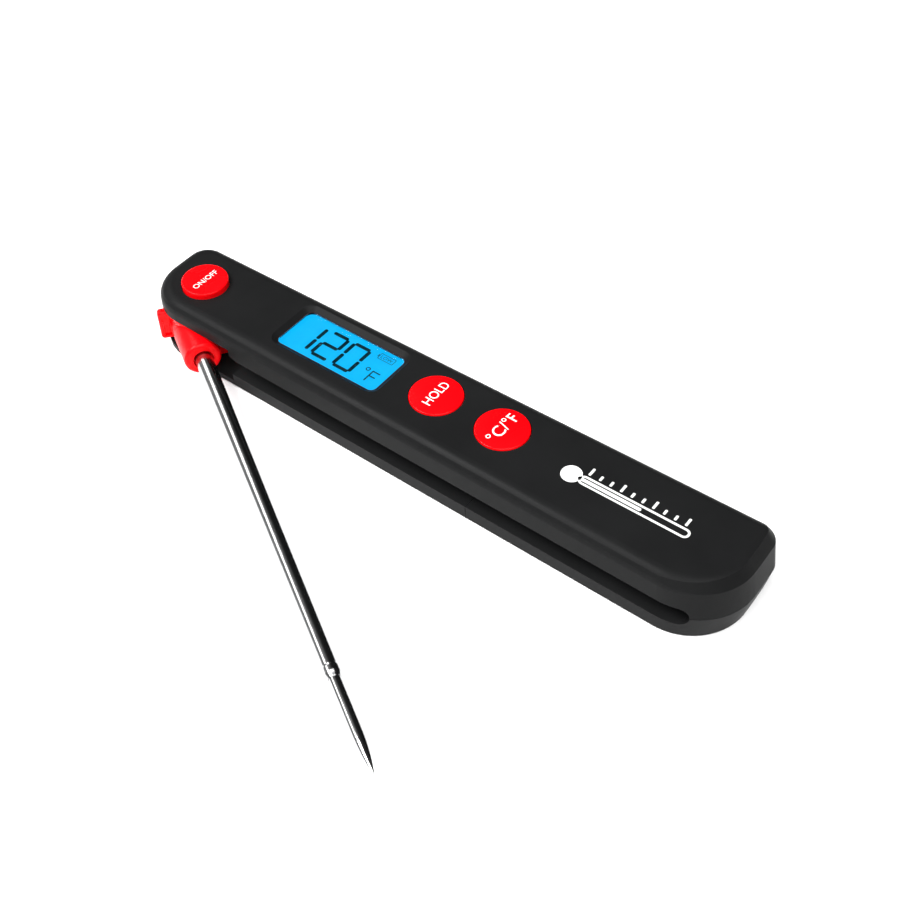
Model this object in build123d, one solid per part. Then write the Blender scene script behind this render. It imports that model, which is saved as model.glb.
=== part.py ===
from build123d import *
import os

# Folding probe thermometer for meat.
# Millimetres.  Origin: the probe's pivot axis on the underside.  +X runs to the butt end,
# -Y is the side with the probe slot, +Z is up through the display.

# ---------------------------------------------------------------- case
CASE_HEIGHT = 16.8
PARTING_Z = 7.0              # joint line between the top cover and the two lower covers
PIVOT_END_X = -12.0 
BUTT_END_X = 146.8
CASE_CENTRE_Y = 0.95         # the case is a little wider behind the pivot than in front
HALF_WIDTH_AT_PIVOT = 11.25
HALF_WIDTH_GROWTH = 0.011    # extra half width for each millimetre towards the butt end
BUTT_BULGE = 0.4             # how far the middle of the butt end stands beyond its corners
CORNER_FRONT_PIVOT = 11.0
CORNER_BACK_PIVOT = 5.5
CORNER_FRONT_BUTT = 14.0
CORNER_BACK_BUTT = 3.6
SIDE_DRAFT = 0.18            # each wall leans in this much from the joint line to its edge
BUTT_DRAFT = 1.3
EDGE_RADIUS_TOP = 3.0
EDGE_RADIUS_BOTTOM = 0.7
BEVEL_SIDE_INSET = 1.6       # end bevel, measured on the top face
BEVEL_END_INSET = 1.3
BEVEL_ANGLE = 35.0
WALL = 1.8
TOP_SKIN = 1.8
BOTTOM_SKIN = 1.6
SEAM_GROOVE = 0.15           # depth and height of the shadow line under the joint line

# ---------------------------------------------------------------- probe slot and hub space
PROBE_Z = 6.83
PROBE_OFFSET = 5.85          # the probe runs this far to the side of the pivot axis
REST_ANGLE = -31.05          # the probe's direction at rest; 0 is folded into the slot
SLOT_FLOOR_Z = 4.25
SLOT_CEILING_Z = 9.45
SLOT_BACK_Y = -2.9
SLOT_START_X = 17.0
SLOT_END_X = 139.2
RIB = 1.2                    # thickness of inner ribs and partitions
HUB_FLOOR_Z = 2.1
HUB_CEILING_Z = 11.9
HUB_SPACE_RADIUS = 10.1
POCKET_END_X = 16.0
POCKET_BACK_Y = -0.4
BACK_WALL_START_X = 6.6

# ---------------------------------------------------------------- hub and probe
HUB_RADIUS = 9.8
HUB_BOTTOM_Z = 2.4
HUB_TOP_Z = 11.4
HUB_BORE = 2.55
SNOUT_RADIUS = 4.45
SNOUT_END_X = 14.3
SNOUT_MOUTH_RADIUS = 2.5
SNOUT_MOUTH_DEPTH = 1.2
TAB_ANGLE = -98.5            # thumb tab, measured from the probe's own direction
TAB_REACH = 12.7
TAB_RIM = 0.9                # solid rim round the shallow pockets in the tab's sides
TAB_WIDTH = 2.0
GROOVE_INNER = 3.7
GROOVE_OUTER = 6.1
GROOVE_FLOOR_Z = 9.4
TUBE_RADIUS_ROOT = 2.1
TUBE_RADIUS_END = 1.8
TUBE_WALL = 0.4
TUBE_START_X = 0.6
COLLAR_START_X = 107.6
COLLAR_END_X = 109.8
COLLAR_RADIUS = 1.89
SHANK_RADIUS = 1.37
POINT_START_X = 122.6
TIP_X = 133.0
BEAD_X = 126.0

# ---------------------------------------------------------------- pivot stack
AXLE_RADIUS = 2.5
SPIGOT_RADIUS = 1.9
AXLE_SOCKET_Z = 1.3
PLATE_THICKNESS = 0.8
PLATE_END_X = 19.0
PIVOT_THREAD_RADIUS = 1.25
PIVOT_THREAD_BOTTOM_Z = 5.5
PIVOT_HEAD_RADIUS = 2.1
PIVOT_HEAD_HEIGHT = 0.5

# ---------------------------------------------------------------- display and buttons
WINDOW_CENTRE = (40.15, 1.85)
WINDOW_SIZE = (28.7, 12.5)
WINDOW_CORNER = 1.6
RECESS_DEPTH = 1.0
RECESS_ANGLE = 52.0         # slope of the recess's sides, measured from upright
BUTTON_TRAVEL_ROOM = 0.35
POWER_BUTTON_RADIUS = 5.55
POWER_BUTTON_RISE = 1.4
KEY_CENTRES = {"hold": (67.1, 2.3), "unit": (84.7, 2.5)}
KEY_RADIUS = 6.1
KEY_RIM_RISE = 0.3
KEY_CROWN = 0.6
KEY_EDGE_ROUND = 0.35
BUTTON_GAP = 0.18
FLANGE_EXTRA = 0.8
FLANGE_BOTTOM_Z = 14.4
FLANGE_TOP_Z = 14.9
NUB_RADIUS = 1.3
NUB_BOTTOM_Z = 14.15
SWITCH_SIZE = 6.0
PLUNGER_RADIUS = 1.2

# ---------------------------------------------------------------- electronics
BOARD_BOTTOM_Z = 10.9
BOARD_THICKNESS = 1.0
BOARD_X = (22.5, 86.0)
BOARD_Y = (-8.6, 9.9)
POWER_BOARD_SIZE = (15.0, 12.0)
POWER_BOARD_THICKNESS = 0.6
KEY_SWITCH_HEIGHT = 1.6
POWER_SWITCH_HEIGHT = 0.5
WIRE_RADIUS = 0.5
LEAD_RADIUS = 0.25
LOOP_Z = 10.45
LOOP_START_ANGLE = 255
LOOP_END_ANGLE = 150
LOOP_STEP = 21
LOOP_BEND = 3.5
LOOP_LAST_BEND = 0.7
LINK_THICKNESS = 0.3
LINK_WIDTH = 5.0

# ---------------------------------------------------------------- battery bay
BATTERY_COVER_START_X = 84.7
COVER_GAP = 0.12
COVER_HOOK_PLACES = (-0.8, 8.0)  # left edge of each hook, one on either side of the cell
BATTERY_RADIUS = 5.25
BATTERY_LENGTH = 44.5
BATTERY_START_X = 90.0
BATTERY_Y = 4.7
BATTERY_Z = 7.7
BULKHEAD_X = 87.9
BULKHEAD_TOP_Z = 13.8
SPRING_PLATE_X = 139.6
CONTACT_THICKNESS = 0.4

# ---------------------------------------------------------------- fasteners
CASE_SCREW_PLACES = ((20.5, 7.6), (48.0, 0.5), (80.0, 0.5), (75.9, 9.1))
CASE_SCREW_HEAD = 1.9
CASE_SCREW_SHANK = 1.0
CASE_SCREW_TOP_Z = 9.6
PLATE_SCREW_SHANK = 0.8
BOSS_RADIUS = 2.4
PLATE_SCREW_PLACES = ((14.2, 2.6), (14.2, 8.2))

BIG = 400.0


def half_width(x):
    return HALF_WIDTH_AT_PIVOT + HALF_WIDTH_GROWTH * x


def case_outline(z, inset, butt_inset):
    """The case's plan at one height, pulled in by inset on three sides."""
    left = PIVOT_END_X + inset
    right = BUTT_END_X - BUTT_BULGE - butt_inset
    front_left = (left, CASE_CENTRE_Y - half_width(left) + inset)
    front_right = (right, CASE_CENTRE_Y - half_width(right) + inset)
    back_right = (right, CASE_CENTRE_Y + half_width(right) - inset)
    back_left = (left, CASE_CENTRE_Y + half_width(left) - inset)
    edges = [
        Line(back_left, front_left),
        Line(front_left, front_right),
        ThreePointArc(front_right, (right + BUTT_BULGE, CASE_CENTRE_Y), back_right),
        Line(back_right, back_left),
    ]
    plan = make_face(edges)
    corners = (
        (front_left, CORNER_FRONT_PIVOT),
        (back_left, CORNER_BACK_PIVOT),
        (front_right, CORNER_FRONT_BUTT),
        (back_right, CORNER_BACK_BUTT),
    )
    for point, radius in corners:
        vertex = plan.vertices().sort_by_distance(Vector(*point, 0))[0]
        plan = fillet(vertex, max(radius - inset, 1.0))
    return Pos(0, 0, z) * plan


def slab(x_range, y_range, z_range):
    """A box from its limits."""
    size = [high - low for low, high in (x_range, y_range, z_range)]
    low = [limit[0] for limit in (x_range, y_range, z_range)]
    return Pos(*low) * Box(*size, align=(Align.MIN, Align.MIN, Align.MIN))


def post(x, y, radius, z_low, z_high):
    """A round post standing along Z."""
    return Pos(x, y, z_low) * Cylinder(
        radius, z_high - z_low, align=(Align.CENTER, Align.CENTER, Align.MIN)
    )


def rod(x_low, x_high, y, z, radius_low, radius_high=None):
    """A round or tapered rod lying along X."""
    radius_high = radius_low if radius_high is None else radius_high
    place = Plane(origin=(x_low, y, z), x_dir=(0, 1, 0), z_dir=(1, 0, 0))
    align = (Align.CENTER, Align.CENTER, Align.MIN)
    if radius_low == radius_high:
        return place * Cylinder(radius_low, x_high - x_low, align=align)
    return place * Cone(radius_low, radius_high, x_high - x_low, align=align)


def rounded_block(centre, size, corner, z_low, z_high):
    """An upright block with rounded corners in plan."""
    plan = RectangleRounded(size[0], size[1], corner)
    return Pos(centre[0], centre[1], z_low) * extrude(plan, z_high - z_low)


def wire(points, radius, bends):
    """A wire along straight runs joined by tangent arcs."""
    path = FilletPolyline(*points, radius=bends)
    profile = Plane(origin=path @ 0, z_dir=path % 0) * Circle(radius)
    return sweep(profile, path=path)


def at_rest(solid):
    """Turns a piece from its folded place to the probe's rest angle."""
    return Rot(0, 0, REST_ANGLE) * solid


# ---------------------------------------------------------------- case shells
def case_upper():
    """The whole case above the joint line, before it is hollowed."""
    plans = [case_outline(PARTING_Z, 0, 0), case_outline(CASE_HEIGHT, SIDE_DRAFT, BUTT_DRAFT)]
    body = loft(plans, ruled=True)
    body = fillet(body.faces().sort_by(Axis.Z)[-1].edges(), EDGE_RADIUS_TOP)
    drop = 6.0
    bevel_plan = case_outline(CASE_HEIGHT, BEVEL_SIDE_INSET, BEVEL_END_INSET + BEVEL_SIDE_INSET)
    bevel = extrude(bevel_plan, drop, dir=(0, 0, -1), taper=-BEVEL_ANGLE)
    below = slab((-BIG, BIG), (-BIG, BIG), (0, CASE_HEIGHT - drop))
    return body & (bevel + below)


def case_lower():
    """The whole case below the joint line, before it is hollowed."""
    plans = [case_outline(0, 2 * SIDE_DRAFT, BUTT_DRAFT), case_outline(PARTING_Z, 0, 0)]
    body = loft(plans, ruled=True)
    return fillet(body.faces().sort_by(Axis.Z)[0].edges(), EDGE_RADIUS_BOTTOM)


def inner_plan(z_low, z_high, extra=0.0):
    """The space inside the case wall between two heights."""
    return extrude(case_outline(z_low, WALL + extra, WALL + BUTT_DRAFT + extra), z_high - z_low)


def slot_space():
    """The long slot in the front face, with a round end."""
    half = (SLOT_CEILING_Z - SLOT_FLOOR_Z) / 2
    straight_end = SLOT_END_X - half
    straight = slab((SLOT_START_X - 4, straight_end), (-BIG, SLOT_BACK_Y), (SLOT_FLOOR_Z, SLOT_CEILING_Z))
    end_plane = Plane(origin=(straight_end, SLOT_BACK_Y, SLOT_FLOOR_Z + half), z_dir=(0, -1, 0))
    round_end = end_plane * Cylinder(half, BIG, align=(Align.CENTER, Align.CENTER, Align.MIN))
    return straight + round_end


def pocket_space():
    """Room for the hub, for its snout in the folded place and for the swing of its tab."""
    hub = post(0, 0, HUB_SPACE_RADIUS, HUB_FLOOR_Z, HUB_CEILING_Z)
    snout = slab((0, POCKET_END_X), (-BIG, POCKET_BACK_Y), (HUB_FLOOR_Z, HUB_CEILING_Z))
    open_end = slab((-BIG, 0), (-BIG, BIG), (HUB_FLOOR_Z, HUB_CEILING_Z))
    open_back = slab((-1, BACK_WALL_START_X), (HUB_SPACE_RADIUS * 0.7, BIG), (HUB_FLOOR_Z, HUB_CEILING_Z))
    lip_points = [
        (10.5, HUB_CEILING_Z),
        (13.6, HUB_CEILING_Z - 0.6),
        (15.6, SLOT_CEILING_Z + 0.9),
        (SLOT_START_X + 1.2, SLOT_CEILING_Z),
    ]
    lip_curve = Spline(*lip_points, tangents=((1, 0), (1, -0.35)))
    lower = [
        Line(lip_points[-1], (SLOT_START_X + 1.2, SLOT_FLOOR_Z)),
        Line((SLOT_START_X + 1.2, SLOT_FLOOR_Z), (SLOT_START_X - 1.2, SLOT_FLOOR_Z)),
        Line((SLOT_START_X - 1.2, SLOT_FLOOR_Z), (SLOT_START_X - 2.4, HUB_FLOOR_Z + 0.6)),
        Line((SLOT_START_X - 2.4, HUB_FLOOR_Z + 0.6), (10.5, HUB_FLOOR_Z + 0.6)),
        Line((10.5, HUB_FLOOR_Z + 0.6), lip_points[0]),
    ]
    lip_face = make_face([lip_curve] + lower)
    lip_place = Plane(origin=(0, 0, 0), x_dir=(1, 0, 0), z_dir=(0, -1, 0))
    lip = extrude(lip_place * lip_face, BIG, dir=(0, -1, 0))
    return hub + snout + open_end + open_back + (lip - slab((-BIG, BIG), (SLOT_BACK_Y, BIG), (0, BIG)))


def electronics_space(z_low, z_high):
    """The room behind the slot's partition, from the hub wall to the butt end."""
    behind = slab((0, BIG), (SLOT_BACK_Y + RIB, BIG), (z_low, z_high))
    clear_of_hub = behind - post(0, 0, HUB_SPACE_RADIUS + RIB, z_low, z_high)
    clear_of_hub -= slab((0, POCKET_END_X + RIB), (-BIG, POCKET_BACK_Y + RIB), (z_low, z_high))
    room = inner_plan(z_low, z_high) & clear_of_hub
    return room - slab((-BIG, BACK_WALL_START_X + RIB), (-BIG, BIG), (z_low, z_high))


def window_recess():
    """The sloped recess round the display, and the hole through its floor."""
    floor_z = CASE_HEIGHT - RECESS_DEPTH
    floor = Pos(*WINDOW_CENTRE, floor_z) * RectangleRounded(*WINDOW_SIZE, WINDOW_CORNER)
    slope = extrude(floor, RECESS_DEPTH + 0.02, taper=-RECESS_ANGLE)
    hole = rounded_block(WINDOW_CENTRE, WINDOW_SIZE, WINDOW_CORNER, floor_z - 2, floor_z + 0.3)
    return slope, hole


def make_top_cover():
    cover = case_upper()
    skin_z = CASE_HEIGHT - TOP_SKIN
    upper_room = inner_plan(SLOT_CEILING_Z + RIB, skin_z)
    upper_room -= slab((-BIG, POCKET_END_X + RIB), (-BIG, BIG), (0, HUB_CEILING_Z))
    cover -= upper_room + electronics_space(PARTING_Z, skin_z)
    cover -= slot_space() + pocket_space()
    for cut in window_recess():
        cover -= cut
    cover -= post(0, 0, POWER_BUTTON_RADIUS + BUTTON_GAP, skin_z - 1, BIG)
    for x, y in KEY_CENTRES.values():
        cover -= post(x, y, KEY_RADIUS + BUTTON_GAP, skin_z - 1, BIG)
    for x, y in CASE_SCREW_PLACES:
        top = skin_z if y > KEY_CENTRES["hold"][1] else SLOT_CEILING_Z + RIB
        cover += post(x, y, BOSS_RADIUS, PARTING_Z, top)
        cover -= post(x, y, CASE_SCREW_SHANK, PARTING_Z - 1, CASE_SCREW_TOP_Z + 0.4)
    for x, y in PLATE_SCREW_PLACES:
        cover += post(x, y, BOSS_RADIUS - 0.6, HUB_CEILING_Z + PLATE_THICKNESS, skin_z)
        cover -= post(x, y, PLATE_SCREW_SHANK, HUB_CEILING_Z, skin_z - 0.3)
    bay_y = (SLOT_BACK_Y + RIB, CASE_CENTRE_Y + half_width(BULKHEAD_X) - WALL + 0.3)
    cover += slab((BULKHEAD_X, BULKHEAD_X + RIB), bay_y, (PARTING_Z, BULKHEAD_TOP_Z))
    end_y = (SLOT_BACK_Y + RIB, CASE_CENTRE_Y + half_width(SPRING_PLATE_X) - WALL - 2.0)
    stop_x = SPRING_PLATE_X + CONTACT_THICKNESS
    cover += slab((stop_x, stop_x + RIB), end_y, (PARTING_Z, skin_z))
    return cover


def lower_shell():
    """Both lower covers in one piece, hollowed."""
    shell = case_lower() - electronics_space(BOTTOM_SKIN, PARTING_Z)
    seam_z = PARTING_Z - SEAM_GROOVE
    groove = extrude(case_outline(seam_z, -1.0, -1.0), SEAM_GROOVE)
    groove -= extrude(case_outline(seam_z, SEAM_GROOVE, SEAM_GROOVE), SEAM_GROOVE)
    return shell - slot_space() - pocket_space() - groove


def make_bottom_cover():
    cover = lower_shell() & slab((-BIG, BATTERY_COVER_START_X - COVER_GAP), (-BIG, BIG), (0, BIG))
    for x, y in CASE_SCREW_PLACES:
        cover += post(x, y, BOSS_RADIUS, BOTTOM_SKIN, PARTING_Z)
        cover -= post(x, y, CASE_SCREW_SHANK + 0.15, 0, PARTING_Z)
        cover -= post(x, y, CASE_SCREW_HEAD + 0.15, 0, 1.6)
    return cover - post(0, 0, AXLE_RADIUS, AXLE_SOCKET_Z, HUB_FLOOR_Z)


def make_battery_cover():
    cover = lower_shell() & slab((BATTERY_COVER_START_X, BIG), (-BIG, BIG), (0, BIG))
    for y in COVER_HOOK_PLACES:
        hook = slab((BATTERY_COVER_START_X - 1.8, BATTERY_COVER_START_X + 2), (y, y + 2.2), (1.75, 2.95))
        cover += hook + slab((BATTERY_COVER_START_X, BATTERY_COVER_START_X + 2), (y, y + 2.2), (1.5, 2.95))
    grip_y = CASE_CENTRE_Y
    for step in range(5):
        cover -= slab((112 + 2.6 * step, 113.2 + 2.6 * step), (grip_y - 5, grip_y + 5), (-1, 0.4))
    arrow = make_face(Polyline((127, grip_y - 3), (130.5, grip_y), (127, grip_y + 3), close=True))
    return cover - extrude(arrow, 0.3)


# ---------------------------------------------------------------- hub and probe
def make_hub():
    hub = post(0, 0, HUB_RADIUS, HUB_BOTTOM_Z, HUB_TOP_Z)
    hub = chamfer(hub.edges().filter_by(GeomType.CIRCLE), 0.4)
    snout = rod(0, SNOUT_END_X, -PROBE_OFFSET, PROBE_Z, SNOUT_RADIUS)
    snout = fillet(snout.edges().filter_by(GeomType.CIRCLE).sort_by(Axis.X)[-1], 0.9)
    tab_height = HUB_TOP_Z - HUB_BOTTOM_Z - 0.8
    tab = Box(TAB_REACH - 6, TAB_WIDTH, tab_height, align=(Align.MIN, Align.CENTER, Align.MIN))
    tab = fillet(tab.edges().filter_by(Axis.Y).sort_by(Axis.X)[-2:], 0.9)
    tab = fillet(tab.faces().sort_by(Axis.X)[-1].edges().filter_by(Axis.Z), 0.5)
    pocket_length = TAB_REACH - TAB_RIM - HUB_RADIUS - 0.4
    for side in (-1, 1):
        pocket = Box(pocket_length, TAB_WIDTH + 1.1, tab_height - 2 * TAB_RIM)
        pocket_x = TAB_REACH - TAB_RIM - 6 - pocket_length / 2
        tab -= Pos(pocket_x, side * TAB_WIDTH, tab_height / 2) * pocket
    tab = Rot(0, 0, TAB_ANGLE) * Pos(6, 0, HUB_BOTTOM_Z + 0.4) * tab
    hub = hub + snout + tab
    hub -= post(0, 0, HUB_BORE, 0, BIG)
    hub -= post(0, 0, GROOVE_OUTER, GROOVE_FLOOR_Z, BIG) - post(0, 0, GROOVE_INNER, 0, BIG)
    hub -= rod(TUBE_START_X, BIG, -PROBE_OFFSET, PROBE_Z, TUBE_RADIUS_ROOT)
    hub -= rod(SNOUT_END_X - SNOUT_MOUTH_DEPTH, BIG, -PROBE_OFFSET, PROBE_Z, SNOUT_MOUTH_RADIUS)
    hub -= post(TUBE_START_X + 1.1, -PROBE_OFFSET, 0.95, PROBE_Z, BIG)
    return at_rest(hub)


def make_tube():
    """The thick part of the probe: a slim taper, rolled in at its collar."""
    grip = rod(TUBE_START_X + 2.6, SNOUT_END_X, -PROBE_OFFSET, PROBE_Z, TUBE_RADIUS_ROOT)
    body = rod(SNOUT_END_X, COLLAR_START_X, -PROBE_OFFSET, PROBE_Z, TUBE_RADIUS_ROOT, TUBE_RADIUS_END)
    flare = rod(COLLAR_START_X, COLLAR_START_X + 0.5, -PROBE_OFFSET, PROBE_Z, TUBE_RADIUS_END, COLLAR_RADIUS)
    ring = rod(COLLAR_START_X + 0.5, COLLAR_END_X - 0.4, -PROBE_OFFSET, PROBE_Z, COLLAR_RADIUS)
    roll = rod(COLLAR_END_X - 0.4, COLLAR_END_X + 0.8, -PROBE_OFFSET, PROBE_Z, COLLAR_RADIUS, SHANK_RADIUS + 0.12)
    bore = rod(0, COLLAR_START_X - 2, -PROBE_OFFSET, PROBE_Z, TUBE_RADIUS_END - TUBE_WALL)
    neck = rod(0, BIG, -PROBE_OFFSET, PROBE_Z, SHANK_RADIUS)
    return at_rest(grip + body + flare + ring + roll - bore - neck)


def make_tip():
    """The thin shank and its pointed end, hollow for the sensor."""
    start = COLLAR_START_X - 2
    point_length = TIP_X - POINT_START_X
    outline = [
        Line((start, 0), (start, SHANK_RADIUS)),
        Line((start, SHANK_RADIUS), (POINT_START_X, SHANK_RADIUS)),
        Spline(
            (POINT_START_X, SHANK_RADIUS),
            (POINT_START_X + 0.58 * point_length, 0.72 * SHANK_RADIUS),
            (TIP_X, 0.06),
            tangents=((1, 0), (0.96, -0.28)),
        ),
        Line((TIP_X, 0.06), (TIP_X, 0)),
        Line((TIP_X, 0), (start, 0)),
    ]
    tip = Pos(0, -PROBE_OFFSET, PROBE_Z) * revolve(make_face(outline), Axis.X)
    bore = rod(0, BEAD_X, -PROBE_OFFSET, PROBE_Z, SHANK_RADIUS - 0.35)
    return at_rest(tip - bore)


def make_sensor_bead():
    """The temperature sensor at the end of the shank's bore."""
    bead = rod(BEAD_X - 2.4, BEAD_X - 0.1, -PROBE_OFFSET, PROBE_Z, 0.85)
    return at_rest(fillet(bead.edges().filter_by(GeomType.CIRCLE), 0.3))


def make_sensor_leads():
    """Two lead wires from the sensor back through the tube, turned up into the hub's groove."""
    leads = []
    for side in (-0.4, 0.4):
        y = -PROBE_OFFSET + side
        x_turn = TUBE_START_X + 1.1
        points = [(BEAD_X - 2.4, y, PROBE_Z), (x_turn, y, PROBE_Z), (x_turn, y, GROOVE_FLOOR_Z + 0.6)]
        leads.append(at_rest(wire(points, LEAD_RADIUS, [0.7])))
    return Compound(children=leads)


def make_lead_loop():
    """The slack stretch of lead that lets the hub swing: round the axle, then up to the power board."""
    groove_radius = (GROOVE_INNER + GROOVE_OUTER) / 2
    loops = []
    for side in (-0.35, 0.35):
        route = [
            Vector(groove_radius + side, 0, LOOP_Z).rotate(Axis.Z, angle)
            for angle in range(LOOP_START_ANGLE, LOOP_END_ANGLE - 1, -LOOP_STEP)
        ]
        route.append(Vector(route[-1].X, route[-1].Y, power_board_top() + 0.4))
        bends = [LOOP_BEND] * (len(route) - 3) + [LOOP_LAST_BEND]
        loops.append(wire(route, LEAD_RADIUS, bends))
    return Compound(children=loops)


# ---------------------------------------------------------------- pivot stack
def make_pivot_axle():
    """The steel sleeve that the hub turns on: socketed below, with a spigot in the pivot plate above."""
    axle = post(0, 0, AXLE_RADIUS, AXLE_SOCKET_Z, HUB_CEILING_Z)
    axle += post(0, 0, SPIGOT_RADIUS, HUB_CEILING_Z, HUB_CEILING_Z + PLATE_THICKNESS)
    return axle - post(0, 0, PIVOT_THREAD_RADIUS, PIVOT_THREAD_BOTTOM_Z, BIG)


def make_pivot_plate():
    """The plate that closes the top cover over the hub and carries the power board."""
    plate = inner_plan(HUB_CEILING_Z, HUB_CEILING_Z + PLATE_THICKNESS, extra=0.1)
    plate &= slab((-BIG, PLATE_END_X), (-BIG, BIG), (0, BIG))
    plate -= post(0, 0, SPIGOT_RADIUS, 0, BIG)
    plate -= lead_hole()
    screw_x, screw_y = CASE_SCREW_PLACES[0]
    plate -= post(screw_x, screw_y, BOSS_RADIUS + 0.15, 0, BIG)
    for x, y in PLATE_SCREW_PLACES:
        plate -= post(x, y, PLATE_SCREW_SHANK + 0.2, 0, BIG)
    return plate


def lead_hole():
    """The hole where the slack lead comes up, through the plate and the power board."""
    groove_radius = (GROOVE_INNER + GROOVE_OUTER) / 2
    return Rot(0, 0, LOOP_END_ANGLE) * post(groove_radius, 0, 0.9, 0, BIG)


def make_pivot_screw():
    """The flat-headed screw that draws the pivot plate down onto the axle."""
    plate_top = HUB_CEILING_Z + PLATE_THICKNESS
    head = post(0, 0, PIVOT_HEAD_RADIUS, plate_top, plate_top + PIVOT_HEAD_HEIGHT)
    shank = post(0, 0, PIVOT_THREAD_RADIUS, PIVOT_THREAD_BOTTOM_Z + 0.6, plate_top)
    return cross_recess(head + shank, 0, 0, plate_top + PIVOT_HEAD_HEIGHT, 0.6)


def cross_recess(screw, x, y, z, height):
    """Cuts a cross recess into a screw head, centred on the height z."""
    for angle in (0, 90):
        screw -= Pos(x, y, z) * Rot(0, 0, angle) * Box(2.2, 0.55, height)
    return screw


def make_washer():
    return post(0, 0, 7.5, HUB_FLOOR_Z, HUB_FLOOR_Z + 0.2) - post(0, 0, AXLE_RADIUS + 0.1, 0, BIG)


def make_spring_washer():
    """Thin ring above the hub that gives the hinge its drag."""
    ring = post(0, 0, 8.9, HUB_CEILING_Z - 0.35, HUB_CEILING_Z - 0.02)
    return ring - post(0, 0, 6.6, 0, BIG)


# ---------------------------------------------------------------- fasteners
def case_screw(x, y):
    head = post(x, y, CASE_SCREW_HEAD, 0.4, 1.6)
    head = fillet(head.edges().filter_by(GeomType.CIRCLE).sort_by(Axis.Z)[0], 0.4)
    return cross_recess(head + post(x, y, CASE_SCREW_SHANK, 1.6, CASE_SCREW_TOP_Z), x, y, 0.4, 1.3)


def make_case_screws():
    return Compound(children=[case_screw(x, y) for x, y in CASE_SCREW_PLACES])


def make_plate_screws():
    screws = []
    for x, y in PLATE_SCREW_PLACES:
        head = post(x, y, 1.5, HUB_CEILING_Z - 0.9, HUB_CEILING_Z)
        shank = post(x, y, PLATE_SCREW_SHANK, HUB_CEILING_Z, HUB_CEILING_Z + 2.6)
        screws.append(head + shank)
    return Compound(children=screws)


# ---------------------------------------------------------------- buttons and switches
def make_power_button():
    top_z = CASE_HEIGHT + POWER_BUTTON_RISE
    cap = post(0, 0, POWER_BUTTON_RADIUS, FLANGE_TOP_Z, top_z)
    cap = fillet(cap.edges().filter_by(GeomType.CIRCLE).sort_by(Axis.Z)[-1], 0.35)
    cap += post(0, 0, POWER_BUTTON_RADIUS + FLANGE_EXTRA, FLANGE_BOTTOM_Z, FLANGE_TOP_Z)
    return cap + post(0, 0, NUB_RADIUS, NUB_BOTTOM_Z, FLANGE_BOTTOM_Z)


def make_key(name):
    """A low key with a gently domed top and a small round at its rim."""
    x, y = KEY_CENTRES[name]
    rim_z = CASE_HEIGHT + KEY_RIM_RISE
    crown_z = rim_z + KEY_CROWN
    shoulder = KEY_RADIUS - KEY_EDGE_ROUND
    outline = [
        Line((0, FLANGE_TOP_Z), (KEY_RADIUS, FLANGE_TOP_Z)),
        Line((KEY_RADIUS, FLANGE_TOP_Z), (KEY_RADIUS, rim_z - KEY_EDGE_ROUND)),
        TangentArc((KEY_RADIUS, rim_z - KEY_EDGE_ROUND), (shoulder, rim_z), tangent=(0, 1)),
        TangentArc((0, crown_z), (shoulder, rim_z), tangent=(1, 0)),
        Line((0, crown_z), (0, FLANGE_TOP_Z)),
    ]
    turned = Plane.XZ * make_face(outline)
    cap = Pos(x, y, 0) * revolve(turned, Axis.Z)
    cap += post(x, y, KEY_RADIUS + FLANGE_EXTRA, FLANGE_BOTTOM_Z, FLANGE_TOP_Z)
    return cap + post(x, y, NUB_RADIUS, NUB_BOTTOM_Z, FLANGE_BOTTOM_Z)


def switch_body(x, y, z, height):
    body = slab((x - SWITCH_SIZE / 2, x + SWITCH_SIZE / 2), (y - SWITCH_SIZE / 2, y + SWITCH_SIZE / 2), (z, z + height))
    body = chamfer(body.edges().filter_by(Axis.Z), 0.5)
    return body - post(x, y, PLUNGER_RADIUS + 0.1, z + height - BUTTON_TRAVEL_ROOM - 0.1, BIG)


def make_plunger(x, y, z, height):
    """The moving stem of one switch, just over its seat."""
    return post(x, y, PLUNGER_RADIUS, z + height - 0.05, NUB_BOTTOM_Z)


def board_top():
    return BOARD_BOTTOM_Z + BOARD_THICKNESS


def power_board_top():
    return HUB_CEILING_Z + PLATE_THICKNESS + POWER_BOARD_THICKNESS


def make_switch_bodies():
    bodies = [switch_body(x, y, board_top(), KEY_SWITCH_HEIGHT) for x, y in KEY_CENTRES.values()]
    return Compound(children=bodies + [switch_body(0, 0, power_board_top(), POWER_SWITCH_HEIGHT)])


# ---------------------------------------------------------------- electronics
def make_main_board():
    board = slab(BOARD_X, BOARD_Y, (BOARD_BOTTOM_Z, board_top()))
    board = chamfer(board.edges().filter_by(Axis.Z), 1.5)
    for x, y in CASE_SCREW_PLACES:
        if y > KEY_CENTRES["hold"][1]:
            board -= post(x, y, BOSS_RADIUS + 0.3, 0, BIG)
    return board


def make_power_board():
    low_z = HUB_CEILING_Z + PLATE_THICKNESS
    board = slab(
        (-POWER_BOARD_SIZE[0] / 2, POWER_BOARD_SIZE[0] / 2),
        (-POWER_BOARD_SIZE[1] / 2, POWER_BOARD_SIZE[1] / 2),
        (low_z, power_board_top()),
    )
    board = chamfer(board.edges().filter_by(Axis.Z), 1.5)
    return board - lead_hole() - post(0, 0, PIVOT_HEAD_RADIUS + 0.15, 0, BIG)


def make_power_link():
    """The flat cable from the power board down to the main board."""
    z_high = power_board_top()
    z_low = board_top()
    gap = LINK_THICKNESS / 2 + 0.01
    route = [(4.5, z_high + gap), (19.0, z_high + gap), (21.0, z_low + gap), (23.8, z_low + gap)]
    line = FilletPolyline(*route, radius=0.8)
    place = Plane(origin=(0, -3.4, 0), x_dir=(1, 0, 0), z_dir=(0, -1, 0))
    strip = trace(line, line_width=LINK_THICKNESS)
    return extrude(place * strip, LINK_WIDTH, dir=(0, -1, 0))


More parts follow.
